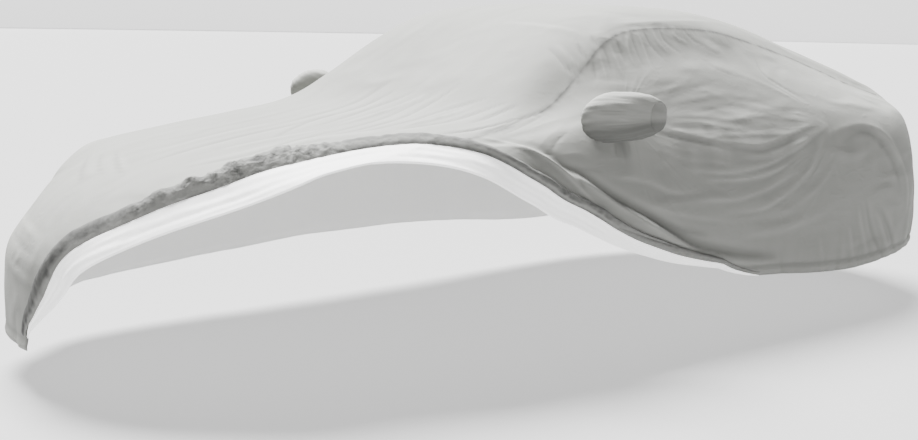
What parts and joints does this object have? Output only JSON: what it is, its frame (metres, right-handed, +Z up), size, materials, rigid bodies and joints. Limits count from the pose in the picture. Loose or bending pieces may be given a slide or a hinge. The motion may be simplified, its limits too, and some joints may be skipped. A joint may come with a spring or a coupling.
{
  "type": "fitted car cover",
  "caption": "Fitted fabric cover in the shape of a low coupe, with mirror pockets and an elastic hem, its near front corner folded back in a pale-lined cuff.",
  "frame": {"origin": "underside of the cloth at the middle of the roof, where the roof of the car carries the cover", "axes": "+Z up, +X towards the rear of the cover, +Y towards its right side, so the turned-back corner is at -X and -Y"},
  "size_m": [4.5502, 1.994, 1.183],
  "materials": {
    "outer_cloth": "matt woven outer face, light warm grey",
    "inner_face": "soft white inner face",
    "gathered_hem": "the same cloth gathered over its elastic, darker in its folds"
  },
  "bodies": {
    "root": {"centre_panel": "outer_cloth", "side_panel_left": "outer_cloth", "side_panel_right": "outer_cloth", "turned_lining": "inner_face", "turned_hem": "gathered_hem", "mirror_sleeve_left": "outer_cloth", "mirror_sleeve_right": "outer_cloth", "mirror_cap_left": "outer_cloth", "mirror_cap_right": "outer_cloth"}
  },
  "joints": []
}
